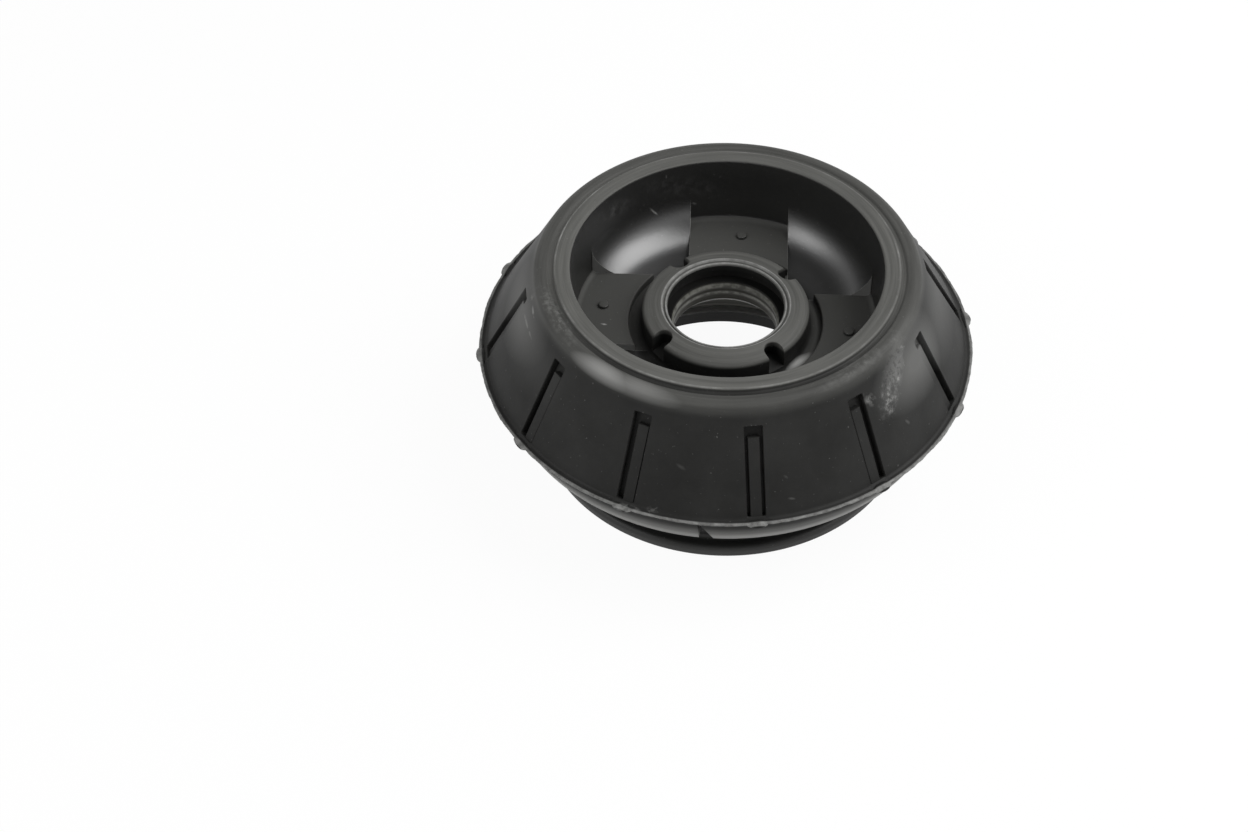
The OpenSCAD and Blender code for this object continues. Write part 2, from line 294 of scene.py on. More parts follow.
def turned(piece, columns):
    """Spins an outline once round the axis and closes it, with its faces outwards."""
    pick(piece, lambda co: True)
    bpy.ops.mesh.spin(steps=columns, angle=TURN, center=(0, 0, 0), axis=(0, 0, 1))
    bpy.ops.mesh.select_all(action="SELECT")
    bpy.ops.mesh.remove_doubles(threshold=SAME_PLACE / 10)
    bpy.ops.mesh.normals_make_consistent(inside=False)
    finish_edit()
    return piece


def box(name, low, high):
    """A cube stretched between two corners."""
    low, high = Vector(low), Vector(high)
    bpy.ops.object.select_all(action="DESELECT")
    bpy.ops.mesh.primitive_cube_add(size=1)
    piece = bpy.context.object
    piece.name = name
    bpy.ops.object.mode_set(mode="EDIT")
    bpy.ops.transform.resize(value=high - low)
    bpy.ops.transform.translate(value=(high + low) / 2)
    finish_edit()
    return piece


def plug(name, low, high, depth, rounding, rounded):
    """A cutter that stands on its floor and flares where it leaves the surface at z = 0."""
    low, high = Vector((*low, 0)), Vector((*high, 0))
    size, middle = high - low, (high + low) / 2
    bpy.ops.object.select_all(action="DESELECT")
    bpy.ops.mesh.primitive_plane_add(size=1)
    piece = bpy.context.object
    piece.name = name
    bpy.ops.object.mode_set(mode="EDIT")
    bpy.ops.transform.resize(value=(size.x, size.y, 1))
    bpy.ops.transform.translate(value=(middle.x, middle.y, -depth))
    finish_edit()
    pick(piece, rounded)
    bpy.ops.mesh.bevel(offset=rounding, segments=8, affect="VERTICES")
    bpy.ops.mesh.select_all(action="SELECT")
    spread, height = 0, -depth
    for next_height, next_spread in LIP_ROUNDING:
        rise = (0, 0, next_height - height)
        bpy.ops.mesh.extrude_region_move(TRANSFORM_OT_translate={"value": rise})
        wider = [(side + 2 * next_spread) / (side + 2 * spread) for side in (size.x, size.y)]
        centre = (middle.x, middle.y, next_height)
        bpy.ops.transform.resize(value=(*wider, 1), center_override=centre)
        spread, height = next_spread, next_height
    bpy.ops.mesh.select_all(action="SELECT")
    bpy.ops.mesh.normals_make_consistent(inside=False)
    finish_edit()
    return piece


def place(piece, origin, across, along):
    """Stands a shape's X and Y along two directions at a place on the mount."""
    axes = Matrix((across, along, across.cross(along))).transposed()
    piece.matrix_world = Matrix.Translation(origin) @ axes.to_4x4()
    alone(piece)
    bpy.ops.object.transform_apply()
    return piece


def around(piece, count, start, step=0):
    """Copies a shape to bearings round the axis, a step apart or evenly all the way."""
    pick(piece, lambda co: True)
    bpy.ops.transform.rotate(value=-start, orient_axis="Z", center_override=(0, 0, 0))
    if count > 1:
        sweep = -(step or TURN / count) * (count - 1)
        bpy.ops.mesh.spin(
            steps=count - 1, dupli=True, angle=sweep, center=(0, 0, 0), axis=(0, 0, 1))
    finish_edit()
    return piece


def combine(piece, tool, operation):
    """Applies a boolean of one shape on another and drops the tool."""
    alone(piece)
    change = piece.modifiers.new("combine", "BOOLEAN")
    change.operation = operation
    change.solver = "EXACT"
    change.object = tool
    bpy.ops.object.modifier_apply(modifier=change.name)
    bpy.data.objects.remove(tool)


def joined(pieces):
    """Joins shapes into the first of them."""
    alone(pieces[0])
    for piece in pieces:
        piece.select_set(True)
    bpy.ops.object.join()
    return pieces[0]


def dressed(piece, material):
    """Gives a piece its material and slot and lets it ride on the mount's one body."""
    piece.data.materials.clear()
    piece.data.materials.append(material)
    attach(piece, BODY)


def heights(s):
    """Heights that several shapes share."""
    top = CAD_HIGH.z - CAD_LOW.z
    pad = top - s.bowl_depth
    return {
        "rim": top,
        "shoulder": top - s.rim_step,
        "pad": pad,
        "moat": pad - s.moat_depth,
        "ring": pad + s.ring_h,
        "insert": pad + s.insert_rise,
    }


def rubber_section(s):
    """Corners of the moulding's section, from its mouth round the outside to the bonded face."""
    z = heights(s)
    band_r = s.bowl_r + s.rim_w
    channel_r = band_r + s.rim_channel_w
    channel_z = z["shoulder"] - s.rim_channel_depth
    edge_r = s.lip_r - LIP_SETBACK
    return [
        (SEAT_R, SEAT_END_Z, 0),
        (SEAT_R, SEAT_MOUTH_Z, 0.8 * MM),
        (UNDER_R, 0, 1 * MM),
        (s.foot_r, 0, 1.2 * MM),
        (s.foot_r, s.foot_bead_h, 1.4 * MM),
        (s.neck_r, s.foot_bead_h, 1.2 * MM),
        (s.neck_r, s.neck_h, 3 * MM),
        (s.skirt_r, s.skirt_z, 0.9 * MM),
        (s.lip_r - LIP_OVERHANG, s.lip_z - s.lip_t - LIP_ROOT_H, 0.5 * MM),
        (edge_r, s.lip_z - s.lip_t, 0.2 * MM),
        (edge_r, s.lip_z - LIP_FALL, 0.3 * MM),
        (s.lip_r - s.lip_w, s.lip_z, 1 * MM),
        (s.shoulder_r, z["shoulder"], 2.4 * MM),
        (channel_r, z["shoulder"], 0.7 * MM),
        (channel_r - CHANNEL_LEAN, channel_z, 0.4 * MM),
        (band_r + CHANNEL_LEAN, channel_z, 0.4 * MM),
        (band_r, z["rim"], 0.6 * MM),
        (s.bowl_r, z["rim"], 0.6 * MM),
        (s.bowl_r - BOWL_DRAFT, z["moat"] + FLOOR_FALL, 11 * MM),
        (s.ring_r + s.moat_w, z["moat"], 1.5 * MM),
        (s.ring_r, z["moat"], 1.4 * MM),
        (s.ring_r, z["ring"] - s.ring_fall, 1.4 * MM),
        *[(s.ring_in_r + out * MM, z["ring"] + up * MM, r * MM) for out, up, r in THROAT_LIPS],
        (s.throat_lip_r, z["ring"] - THROAT_LIP_T, 0.3 * MM),
        (s.throat_r, z["ring"] - THROAT_LIP_ROOT, 0.3 * MM),
        (s.throat_r, z["insert"], 0),
        (BOND_TOP_R, z["insert"], 0.8 * MM),
        (BOND_R, BOND_Z, 7 * MM),
        (BOND_R, SEAT_END_Z, 0),
    ]


class MOUNT_OT_rubber(bpy.types.Operator):
    """Turn the rubber moulding and cut its grooves, pads and notches"""

    bl_idname = "mount.rubber"
    bl_label = "Rubber moulding"

    def execute(self, context):
        s = context.scene.mount_sizes
        z = heights(s)
        body = turned(outline("rubber_moulding", rubber_section(s)), s.columns)
        step, back = TURN / s.groove_count, s.groove_count // 2
        notch_turn = s.groove_turn - step / 2 + TURN / s.pad_count / 2
        combine(body, around(self.groove(s, z), s.groove_count, s.groove_turn), "DIFFERENCE")
        # Runs of like tongues as count, first groove, shift and drop
        runs = (
            (1, 0, 0, s.tongue_drop),
            (1, 1, -s.tongue_shift, s.tongue_drop),
            (back - 2, 2, -s.tongue_shift, s.tongue_drop_back),
            (1, back, 0, s.tongue_drop_back),
            (back - 3, back + 1, s.tongue_shift, s.tongue_drop_back),
            (2, -2, s.tongue_shift, s.tongue_drop),
        )
        tongues = [
            around(self.tongue(s, z, aside, drop), count, s.groove_turn + first * step, step)
            for count, first, aside, drop in runs
        ]
        combine(body, joined(tongues), "UNION")
        combine(body, around(self.pad_space(s, z), s.pad_count, s.pad_turn), "DIFFERENCE")
        combine(body, around(self.pad_ground(s, z), s.pad_count, s.pad_turn), "UNION")
        combine(body, around(self.ring_notch(s, z), s.pad_count, notch_turn), "DIFFERENCE")
        combine(body, around(self.skirt_notch(s), 1, s.notch_turn), "DIFFERENCE")
        alone(body)
        bpy.ops.object.shade_smooth_by_angle(angle=RUBBER_CREASE)
        even = body.modifiers.new("even", "WEIGHTED_NORMAL")
        even.keep_sharp = True
        even.weight = 100
        bpy.ops.object.modifier_apply(modifier=even.name)
        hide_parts("rubber_body")
        dressed(body, moulded_rubber(s, context.scene.mount_colours))
        return {"FINISHED"}

    def cone(self, s, z):
        """The foot of the cone on the X axis, the way up its slope and the slope's length."""
        foot = Vector((s.lip_r - s.lip_w, 0, s.lip_z))
        slope = Vector((s.shoulder_r, 0, z["shoulder"])) - foot
        return foot, slope.normalized(), slope.length

    def groove(self, s, z):
        """One groove, square to the cone."""
        foot, up, run = self.cone(s, z)
        half = s.groove_w / 2
        low, high = (-half, GROOVE_FOOT_GAP), (half, run - GROOVE_TOP_GAP)
        cutter = plug("groove", low, high, s.groove_depth, GROOVE_CORNER_R, lambda co: True)
        return place(cutter, foot, Vector((0, 1, 0)), up)

    def tongue(self, s, z, aside, drop):
        """The tongue that stands in one groove, off its middle line and rounded along its edges."""
        foot, up, run = self.cone(s, z)
        half, end = s.tongue_w / 2, run - GROOVE_TOP_GAP - s.tongue_gap
        low = (aside - half, -TONGUE_ROOT, -s.groove_depth - TONGUE_ROOT)
        tongue = box("tongue", low, (aside + half, end, -drop))
        pick(tongue, lambda co: co.z > -s.groove_depth)
        bpy.ops.mesh.bevel(offset=TONGUE_EDGE_R, segments=3, affect="EDGES")
        finish_edit()
        return place(tongue, foot, Vector((0, 1, 0)), up)

    def pad_space(self, s, z):
        """The room over one pad, cut through the rounding of the bowl and rounded into its wall."""
        inner, top = s.ring_r + s.moat_w - PAD_LAP, z["rim"] - PAD_HEADROOM
        corners = [
            (inner, z["pad"], 0),
            (s.pad_end_r, z["pad"], s.pad_rise_r),
            (s.pad_end_r, top, 0),
            (inner, top, 0),
        ]
        space = turned(outline("pad_space", corners), s.columns)
        low, high = -s.pad_shift - s.pad_w / 2, -s.pad_shift + s.pad_w / 2
        combine(space, box("strip", (0, low, 0), (s.lip_r, high, z["rim"])), "INTERSECT")
        return space

    def pad_ground(self, s, z):
        """The flat ground of one pad, a hair inside the room cut for it."""
        inner, outer = s.ring_r + s.moat_w, s.pad_end_r - s.pad_rise_r
        low, top = z["moat"] - PAD_ROOT, z["pad"] + HAIR
        corners = [(inner, low, 0), (outer, low, 0), (outer, top, 0), (inner, top, PAD_EDGE_R)]
        ground = turned(outline("pad_ground", corners), s.columns)
        low, high = -s.pad_shift - s.pad_w / 2 + HAIR, -s.pad_shift + s.pad_w / 2 - HAIR
        combine(ground, box("strip", (0, low, 0), (s.lip_r, high, z["rim"])), "INTERSECT")
        return ground

    def ring_notch(self, s, z):
        """One U-shaped notch, square to the sloping top of the hub ring."""
        half = s.ring_notch_w / 2
        down = Vector((s.ring_r - s.ring_in_r, 0, -s.ring_fall)).normalized()
        origin = Vector((s.ring_in_r, 0, z["ring"])) + down * (RING_NOTCH_WALL + half)
        low, high = (-half, -RING_NOTCH_REACH), (half, half)
        cutter = plug(
            "ring_notch", low, high, RING_NOTCH_DEPTH, half * NEARLY_ROUND, lambda co: co.y > 0)
        return place(cutter, origin, Vector((0, 1, 0)), -down)

    def skirt_notch(self, s):
        """The saw-tooth notch in the skirt, upright on one side and slanting on the other."""
        low = (s.skirt_r - SKIRT_NOTCH_DEPTH, 0, s.neck_h)
        high = (s.lip_r + SKIRT_NOTCH_DEPTH, SKIRT_NOTCH_W, SKIRT_NOTCH_TIP_Z)
        notch = box("skirt_notch", low, high)
        pick(notch, lambda co: co.y > SKIRT_NOTCH_W / 2 and co.z > s.skirt_z)
        bpy.ops.transform.translate(value=(0, -SKIRT_NOTCH_SLANT, 0))
        finish_edit()
        return notch


class MOUNT_OT_flash(bpy.types.Operator):
    """Run the ragged flash and its nubs round the lip and set the pips on the pads"""

    bl_idname = "mount.flash"
    bl_label = "Flash and pips"

    def execute(self, context):
        s = context.scene.mount_sizes
        rubber = bpy.data.materials["moulded_black_rubber"]
        dressed(self.flash(s), rubber)
        dressed(self.pips(s, heights(s)["pad"]), rubber)
        return {"FINISHED"}

    def flash(self, s):
        """A thin ring with a nub below each groove, torn along its edge."""
        inner, outer = s.lip_r - FLASH_ROOT, s.lip_r - FLASH_SETBACK
        low, top = s.lip_z - s.lip_t, s.lip_z + FLASH_RISE
        corners = [
            (inner, low, 0),
            (outer, low, 0.3 * MM),
            (outer, top, 0.35 * MM),
            (inner, top - FLASH_FALL, 0),
        ]
        flash = turned(outline("lip_flash", corners), s.flash_columns)
        bpy.ops.object.select_all(action="DESELECT")
        bpy.ops.mesh.primitive_uv_sphere_add(segments=32, ring_count=16, radius=1)
        nub = bpy.context.object
        bpy.ops.object.mode_set(mode="EDIT")
        bpy.ops.transform.resize(value=(s.nub_out + NUB_ROOT, s.nub_w / 2, NUB_HALF_H))
        bpy.ops.transform.translate(value=(s.lip_r - NUB_ROOT, 0, s.lip_z - NUB_DROP))
        finish_edit()
        flash = joined([flash, around(nub, s.groove_count, s.groove_turn)])
        alone(flash)
        for grain, reach in TEARS:
            torn = bpy.data.textures.new("torn_edge", "CLOUDS")
            torn.noise_scale, torn.noise_depth = grain, 2
            ragged = flash.modifiers.new("ragged", "DISPLACE")
            ragged.texture, ragged.texture_coords = torn, "LOCAL"
            ragged.strength, ragged.mid_level = reach, 0.55
            bpy.ops.object.modifier_apply(modifier=ragged.name)
        bpy.ops.object.shade_smooth_by_angle(angle=FLASH_CREASE)
        return flash

    def pips(self, s, pad_z):
        """One round pip on each pad."""
        bpy.ops.object.select_all(action="DESELECT")
        bpy.ops.mesh.primitive_cylinder_add(
            vertices=32, radius=PIP_R, depth=PIP_LENGTH,
            location=(PIP_PITCH_R, 0, pad_z + PIP_LIFT))
        pip = bpy.context.object
        pip.name = "pips"
        bpy.ops.object.transform_apply()
        pick(pip, lambda co: co.z > pad_z)
        bpy.ops.mesh.bevel(offset=PIP_EDGE_R, segments=3, affect="EDGES")
        finish_edit()
        pips = around(pip, s.pad_count, s.groove_turn - TURN / s.groove_count / 2)
        alone(pips)
        bpy.ops.object.shade_smooth_by_angle(angle=PIP_CREASE)
        return pips


class MOUNT_OT_steel(bpy.types.Operator):
    """Give the bonded steel insert its phosphated finish"""

    bl_idname = "mount.steel"
    bl_label = "Steel insert"

    def execute(self, context):
        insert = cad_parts["steel_insert"]
        insert.data.materials.clear()
        insert.data.materials.append(phosphated_steel(context.scene.mount_colours))
        return {"FINISHED"}


# Map Range takes its old range on sockets 1 and 2 and its new one, 0 to 1 if unset, on 3 and 4.
# Mix takes its factor on socket 0, and two numbers on 2 and 3 or two colours on 6 and 7.
def node(tree, kind, sockets=None, **settings):
    """Adds one shader node with its settings, socket values and links."""
    made = tree.nodes.new(kind)
    for name, value in settings.items():
        setattr(made, name, value)
    for name, value in (sockets or {}).items():
        if isinstance(value, bpy.types.NodeSocket):
            tree.links.new(value, made.inputs[name])
        else:
            made.inputs[name].default_value = value
    return made


def blank(name):
    """A material with an empty node tree."""
    made = bpy.data.materials.new(name)
    made.use_nodes = True
    made.node_tree.nodes.clear()
    return made, made.node_tree


def on_mount(degrees, radius_mm, height_mm):
    """A place on the mount from its bearing, radius and height."""
    turn = math.radians(degrees)
    return Vector((radius_mm * math.cos(turn), radius_mm * math.sin(turn), height_mm)) * MM


# Chalky marks as start, end, half width and strength: scratches show nearly whole, scuffs broken up
SCRATCHES = (
    ((-170.0, 50.4, 47.6), (-155.0, 50.8, 47.0), 0.85, 0.7),
    ((-165.0, 48.3, 51.2), (-160.0, 49.0, 50.2), 0.7, 0.55),
    ((115.0, 38.0, 52.8), (115.2, 38.0, 51.6), 0.35, 0.8),
    ((104.2, 37.8, 41.6), (103.2, 37.8, 41.2), 0.4, 0.6),
    ((122.3, 37.9, 43.4), (119.0, 37.4, 40.4), 0.35, 0.6),
    ((-174.0, 29.9, 35.6), (-174.6, 31.1, 35.6), 0.35, 0.8),
    ((-100.6, 54.4, 40.6), (-98.8, 54.8, 39.9), 0.6, 0.08),
    ((-74.6, 55.7, 38.1), (-74.0, 55.9, 37.6), 0.35, 0.25),
    ((-74.2, 58.5, 33.2), (-72.8, 58.6, 32.8), 0.4, 0.14),
    ((-38.9, 55.9, 38.2), (-38.0, 56.4, 36.8), 0.5, 0.14),
    ((-30.0, 48.2, 51.4), (-41.0, 52.0, 44.8), 5.5, 0.34),
)
SCUFFS = (
    ((-28.0, 48.0, 51.8), (-38.0, 50.2, 48.0), 5.5, 0.5),
    ((-34.0, 49.2, 49.6), (-42.0, 52.4, 44.0), 4.8, 0.8),
    ((-41.0, 51.2, 46.2), (-42.0, 53.0, 43.0), 3, 0.9),
    ((-49.0, 50.0, 48.2), (-46.5, 51.0, 46.6), 1.8, 0.5),
    ((-105.8, 60.4, 30.0), (-103.6, 60.2, 30.2), 0.9, 0.5),
    ((-113.8, 62.0, 29.6), (-107.4, 62.0, 29.6), 1.5, 1),
    ((122.0, 38.0, 51.0), (96.0, 38.0, 45.0), 4.0, 0.12),
    ((147.0, 38.0, 50.5), (132.0, 38.0, 48.0), 3.4, 0.16),
    ((-174.0, 47.0, 53.0), (-160.0, 49.5, 49.5), 3.0, 0.35),
    ((-140.0, 46.0, 54.0), (-170.0, 46.5, 54.0), 2.5, 0.3),
    ((-60.0, 46.5, 54.0), (-34.0, 46.5, 53.5), 2.5, 0.2),
)
# Pale hazes, which show whole: painted highlights along the shoulder at front left and on the moat's
# floor at front right, and dust with painted sheen on the cone's sides
SHEEN_AND_HIGHLIGHTS = (
    ((-137.0, 46.9, 53.2), (-117.0, 46.9, 53.2), 2.6, 0.75),
    ((-126.0, 46.9, 53.2), (-104.0, 46.9, 53.2), 2.6, 0.45),
    ((-36.0, 51.0, 46.0), (-18.0, 51.0, 46.0), 10, 0.27),
    ((-14.0, 52.0, 44.0), (10.0, 52.0, 44.0), 10, 0.12),
    ((-178.0, 51.0, 46.0), (-156.0, 51.0, 46.0), 10, 0.27),
    ((-160.0, 52.0, 44.0), (-146.0, 52.0, 44.0), 9, 0.06),
    ((-43.0, 21.9, 33.6), (-25.0, 22.9, 33.6), 1.4, 1),
)


def smudge(tree, coords, start, end, half_width, strength):
    """A mask along a line between two places on the mount, falling to nought at its edge."""
    along = end - start
    inside = node(tree, "ShaderNodeMapping", {
        "Vector": coords,
        "Location": (start + end) / 2,
        "Rotation": along.to_track_quat("X", "Z").to_euler(),
        "Scale": (along.length / 2 + half_width, half_width, half_width),
    }, vector_type="TEXTURE")
    away = node(tree, "ShaderNodeVectorMath", {0: inside.outputs[0]}, operation="LENGTH")
    return node(tree, "ShaderNodeMapRange", {
        "Value": away.outputs["Value"], 1: 1, 2: 0.2, 4: strength}).outputs[0]


def smudges(tree, coords, marks):
    """The highest of several smudges, given in degrees and millimetres."""
    masks = [
        smudge(tree, coords, on_mount(*start), on_mount(*end), half_width * MM, strength)
        for start, end, half_width, strength in marks
    ]
    return together(tree, masks, "MAXIMUM")


def together(tree, masks, operation):
    """Joins several masks by one operation."""
    joint = masks[0]
    for mask in masks[1:]:
        joint = node(tree, "ShaderNodeMath", {0: joint, 1: mask}, operation=operation).outputs[0]
    return joint


def between(tree, value, edges):
    """One between the middle two of four edges, falling to nought at the outer two."""
    ramps = [
        node(tree, "ShaderNodeMapRange", {
            "Value": value, 1: none, 2: full}, interpolation_type="SMOOTHSTEP").outputs[0]
        for none, full in (edges[:2], edges[:1:-1])
    ]
    return together(tree, ramps, "MULTIPLY")


def off(base, *steps):
    """Places that lie some millimetres off a base."""
    return [base + step * MM for step in steps]


# Widths of the patterns. The grain and the flecks are coarser than real ones, so that they show
BLOOM_W = 14.29 * MM
GRAIN_W = 0.7692 * MM
FLECK_W = 2.083 * MM
DUST_LINE_W = 1.111 * MM
DUST_LINE_RUN = 28.57 * MM
PHOSPHATE_W = 1.667 * MM
TOOL_LINE_W = 1.111 * MM
# Heights in millimetres between which the bore is painted paler, partly as wear and partly as painted
# highlight: its top edge, a ridge and its flared foot
BORE_WEAR_AND_HIGHLIGHT = ((33.8, 34.3, 35.1, 35.5), (31.8, 32.2, 32.7, 33.1), (28.6, 28.8, 29.4, 29.7))
# Heights between which the steel turns dark at its top
STEEL_TOP = (35.3 * MM, 35.7 * MM)


def moulded_rubber(s, tones):
    """Compression-moulded rubber: matt with wax bloom, glossy in the bowl, dust on its edges, with
    some shade and highlights painted in.
    """
    made, tree = blank("moulded_black_rubber")
    z = heights(s)
    band_r = s.bowl_r + s.rim_w
    channel_r = band_r + s.rim_channel_w
    half_pad = s.pad_w / 2
    coords = node(tree, "ShaderNodeTexCoord").outputs["Object"]
    parts = node(tree, "ShaderNodeSeparateXYZ", {0: coords}).outputs
    height = parts["Z"]
    flat = node(tree, "ShaderNodeVectorMath", {0: coords, 1: (1, 1, 0)}, operation="MULTIPLY")
    radius = node(tree, "ShaderNodeVectorMath", {0: flat.outputs[0]}, operation="LENGTH")
    radius = radius.outputs["Value"]

    # Clouds of bloom, the skin's grain, flecks of dust, and lines of dust that run round the axis
    cloud = node(tree, "ShaderNodeTexNoise", {
        "Vector": coords, "Scale": 1 / BLOOM_W, "Detail": 6, "Roughness": 0.6}).outputs["Fac"]
    grain = node(tree, "ShaderNodeTexNoise", {
        "Vector": coords, "Scale": 1 / GRAIN_W, "Detail": 3}).outputs["Fac"]
    flecks = node(tree, "ShaderNodeTexNoise", {
        "Vector": coords, "Scale": 1 / FLECK_W, "Detail": 5, "Roughness": 0.7}).outputs["Fac"]
    ringed = node(tree, "ShaderNodeCombineXYZ", {"X": parts["X"], "Y": parts["Y"], "Z": radius})
    ringed = node(tree, "ShaderNodeVectorMath", {
        0: ringed.outputs[0],
        1: (1 / DUST_LINE_RUN, 1 / DUST_LINE_RUN, 1 / DUST_LINE_W),
    }, operation="MULTIPLY")
    rings = node(tree, "ShaderNodeTexNoise", {
        "Vector": ringed.outputs[0], "Scale": 1, "Detail": 4, "Roughness": 0.6}).outputs["Fac"]

    # The bowl and its pads, which lie along X and Y, each shifted one way round:
    # the smaller distance from two middle lines tells a pad from the wall beside it
    side = node(tree, "ShaderNodeVectorMath", {0: coords}, operation="SIGN")
    side = node(tree, "ShaderNodeSeparateXYZ", {0: side.outputs[0]}).outputs
    lines = []
    for along, across, shift in (("X", "Y", s.pad_shift), ("Y", "X", -s.pad_shift)):
        line = node(tree, "ShaderNodeMath", {
            0: side[along], 1: shift, 2: parts[across]}, operation="MULTIPLY_ADD").outputs[0]
        lines.append(node(tree, "ShaderNodeMath", {0: line}, operation="ABSOLUTE").outputs[0])
    aside = together(tree, lines, "MINIMUM")
    strip = node(tree, "ShaderNodeMapRange", {
        "Value": aside, 1: half_pad + 4 * HAIR, 2: half_pad + 2 * HAIR}).outputs[0]
    bowl_wide = between(tree, radius, off(s.ring_r, 2, 5) + off(s.bowl_r, 0.02, 0.12))
    bowl_high = between(tree, height, off(z["moat"], -1, -0.5) + off(z["rim"], 0, 1))
    bowl = together(tree, [bowl_wide, bowl_high], "MULTIPLY")
    pad_wide = between(tree, radius, off(s.ring_r, 0.3, 2) + off(s.pad_end_r, -0.3, -0.05))
    pad_high = between(tree, height, off(z["moat"], -0.2, -0.1) + off(z["pad"], 6, 9))
    # Painted shade round the pips: their sides are kept out of the pad tone and take the bowl's dark
    # gloss
    pip_wide = between(tree, radius, off(PIP_PITCH_R, -1.6, -1.4, 1.4, 1.6))
    pip_high = between(tree, height, off(z["pad"], 0.04, 0.08, 0.6, 0.75))
    pip = together(tree, [pip_wide, pip_high], "MULTIPLY")
    without_pip_shade = node(tree, "ShaderNodeMapRange", {"Value": pip, 3: 1, 4: 0}).outputs[0]
    pad = together(tree, [strip, pad_high, pad_wide, without_pip_shade], "MULTIPLY")
    # Painted light: pale chalk at half strength on the pads' side walls, which stand in shade
    flank = between(tree, aside, [half_pad + step * HAIR for step in (-3, -2, 2, 4)])
    flank = together(tree, [flank, pad], "MULTIPLY")
    flank = node(tree, "ShaderNodeMapRange", {"Value": flank, 4: 0.5}).outputs[0]

    # Dust on the rim, on the hub ring and on the skirt, a little paler towards the left; the dust is
    # left off the rim's channel at the front, which paints shade there, and fades out up the skirt,
    # which paints the shade under the lip
    rim_high = node(tree, "ShaderNodeMapRange", {
        "Value": height, 1: z["rim"] - 4 * MM, 2: z["rim"] - MM}, interpolation_type="SMOOTHSTEP")
    rim_high = rim_high.outputs[0]
    rim_wide = between(tree, radius, off(s.bowl_r, 0, 0.15) + off(s.lip_r, 0, 1))
    band = node(tree, "ShaderNodeMapRange", {
        "Value": radius, 1: band_r, 2: channel_r, 3: 0.95, 4: 0.55}).outputs[0]
    channel = between(tree, radius, off(band_r, 0, 0.3) + off(channel_r, -0.4, 0))
    behind = node(tree, "ShaderNodeMapRange", {
        "Value": parts["Y"], 1: -35 * MM, 2: -5 * MM, 3: 0.1, 4: 1}).outputs[0]
    # Painted shade: the channel keeps less dust towards the front, so it shows dark there
    clear = node(tree, "ShaderNodeMix", {0: channel, 2: 1, 3: behind}).outputs[0]
    leftward = node(tree, "ShaderNodeMapRange", {
        "Value": parts["X"], 1: 40 * MM, 2: -40 * MM, 3: 0.87, 4: 1.02}).outputs[0]
    rim = together(tree, [rim_high, rim_wide, band, clear, leftward], "MULTIPLY")
    ring_high = between(tree, height, off(z["ring"], -2.6, -1.6, 1, 2))
    ring_wide = between(tree, radius, off(s.throat_lip_r, -1, 0) + off(s.ring_r, 1, 2))
    ring = together(tree, [ring_high, ring_wide], "MULTIPLY")
    ring = node(tree, "ShaderNodeMapRange", {"Value": ring, 4: 0.83}).outputs[0]
    wide = node(tree, "ShaderNodeMapRange", {
        "Value": radius, 1: s.skirt_r - 1.5 * MM, 2: s.skirt_r - 0.5 * MM}).outputs[0]
    # Painted shade under the lip: the skirt's dust fades out as it nears the lip
    skirt = between(tree, height, off(s.skirt_z, -2, 0, 2) + off(s.lip_z, -3))
    skirt = together(tree, [wide, skirt, leftward], "MULTIPLY")
    skirt = node(tree, "ShaderNodeMapRange", {"Value": skirt, 4: 0.9}).outputs[0]
    dust_share = node(tree, "ShaderNodeMapRange", {
        "Value": rings, 1: 0.25, 2: 0.7, 3: 0.5, 4: 1}).outputs[0]
    dust_and_shade = together(tree, [rim, skirt, ring], "MAXIMUM")
    dust_and_shade = together(tree, [dust_and_shade, dust_share], "MULTIPLY")

    # Edges painted paler: dust and a painted highlight along the skirt's hem, wear and dust on the
    # lip, a painted highlight along the band's outer edge, wear on the throat, and the mouth below
    # The hem: dust and a painted highlight along the skirt's lower edge
    hem_dust_and_highlight = between(tree, height, off(s.skirt_z, -2, -0.5, 1.2, 4))
    hem_dust_and_highlight = together(tree, [wide, hem_dust_and_highlight], "MULTIPLY")
    hem_dust_and_highlight = node(tree, "ShaderNodeMapRange", {"Value": hem_dust_and_highlight, 4: 0.5}).outputs[0]
    # Flecks that break up the wear on the lip and throat and the painted highlight on the band's edge
    worn = node(tree, "ShaderNodeMapRange", {
        "Value": flecks, 1: 0.35, 2: 0.65, 3: 0.25, 4: 0.65}).outputs[0]
    greyed = node(tree, "ShaderNodeMapRange", {"Value": cloud, 1: 0.3, 2: 0.7}).outputs[0]
    lip_wide = between(tree, radius, off(s.lip_r, -1.2, -0.8, 0.1, 0.35))
    lip_high = between(tree, height, off(s.lip_z, -0.55, -0.35, 1, 2))
    lip = together(tree, [lip_wide, lip_high, worn], "MULTIPLY")
    # A painted highlight along the band's rounded outer edge
    band_edge_highlight = between(tree, radius, off(band_r, -0.5, -0.35, -0.05, 0.1))
    band_edge_highlight = together(tree, [band_edge_highlight, rim_high, worn, greyed, greyed], "MULTIPLY")
    throat_out = between(tree, radius, off(s.ring_in_r, -0.2, 0, 0.3, 0.5))
    throat_in = between(tree, radius, off(s.throat_lip_r, 0.2, 0.4, 0.7, 0.9))
    throat = together(tree, [throat_out, throat_in], "MAXIMUM")
    throat = together(tree, [throat, ring_high, worn], "MULTIPLY")
    mouth_wide = between(tree, radius, off(SEAT_R, -0.3, -0.1, 0.5, 1.1))
    mouth_high = between(tree, height, off(SEAT_MOUTH_Z, -1.4, -0.8, 1.2, 2.2))
    mouth = together(tree, [mouth_wide, mouth_high], "MULTIPLY")

